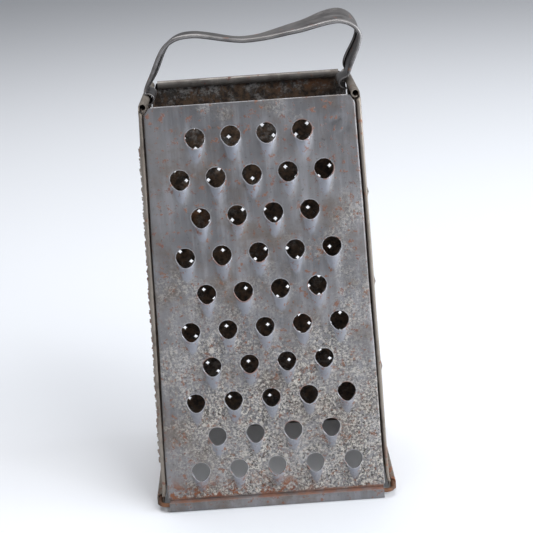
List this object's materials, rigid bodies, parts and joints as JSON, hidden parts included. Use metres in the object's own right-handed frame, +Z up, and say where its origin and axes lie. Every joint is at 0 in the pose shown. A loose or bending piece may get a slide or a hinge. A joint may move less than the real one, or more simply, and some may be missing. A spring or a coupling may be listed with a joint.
{
  "type": "box grater",
  "caption": "Four-sided tinned-steel box grater, open top and bottom, with shredding, rasping and slicing faces and a strap handle over the rim.",
  "frame": {"origin": "centre of the bottom of the bounding box, on the plane that the rolled hems stand on", "axes": "+Z up toward the handle, -Y out of the coarse shredding face, +X out of the slicing side"},
  "size_m": [0.105, 0.0732, 0.2038],
  "materials": {
    "tinned_sheet": "dull blue-grey tin plate, scuffed, with pale bloom and rust spots",
    "aged_tinned_sheet": "dull grey-brown tin plate, worn at the folds and rusty inside",
    "rusty_wire": "rough orange-brown rust",
    "worn_strap": "grey-brown worn tin plate, polished along the rolled edges"
  },
  "bodies": {
    "root": {"front_shredder_panel": "tinned_sheet", "back_rasp_panel": "aged_tinned_sheet", "left_fine_rasp_panel": "aged_tinned_sheet", "right_slicer_panel": "aged_tinned_sheet", "base_wire": "rusty_wire", "strap_handle": "worn_strap"}
  },
  "joints": []
}
